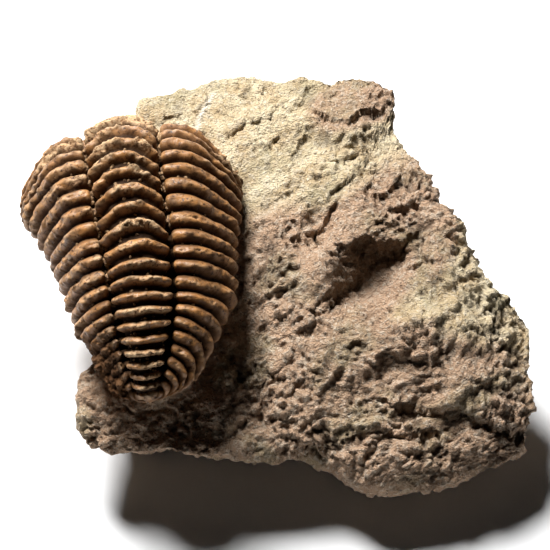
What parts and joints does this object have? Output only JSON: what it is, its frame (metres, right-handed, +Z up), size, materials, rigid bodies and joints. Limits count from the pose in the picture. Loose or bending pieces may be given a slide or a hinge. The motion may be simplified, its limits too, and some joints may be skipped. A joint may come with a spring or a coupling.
{
  "type": "trilobite fossil",
  "caption": "Calymenid trilobite, arched with its head bent down, in brown calcite on a rough beige limestone block that tapers to a flat base.",
  "frame": {"origin": "on the ground, below the centre of the whole specimen's box", "axes": "+X along the block's length, to the right of someone looking at the trilobite from its tail; +Y from the tail towards the head; +Z up"},
  "size_m": [0.1015, 0.0859, 0.0464],
  "materials": {
    "brown_calcite": "waxy, half gloss on the ribs, dull and granular on the worn crests",
    "limestone": "matt, rough broken stone"
  },
  "bodies": {
    "root": {"trilobite": "brown_calcite", "rock_matrix": "limestone"}
  },
  "joints": []
}
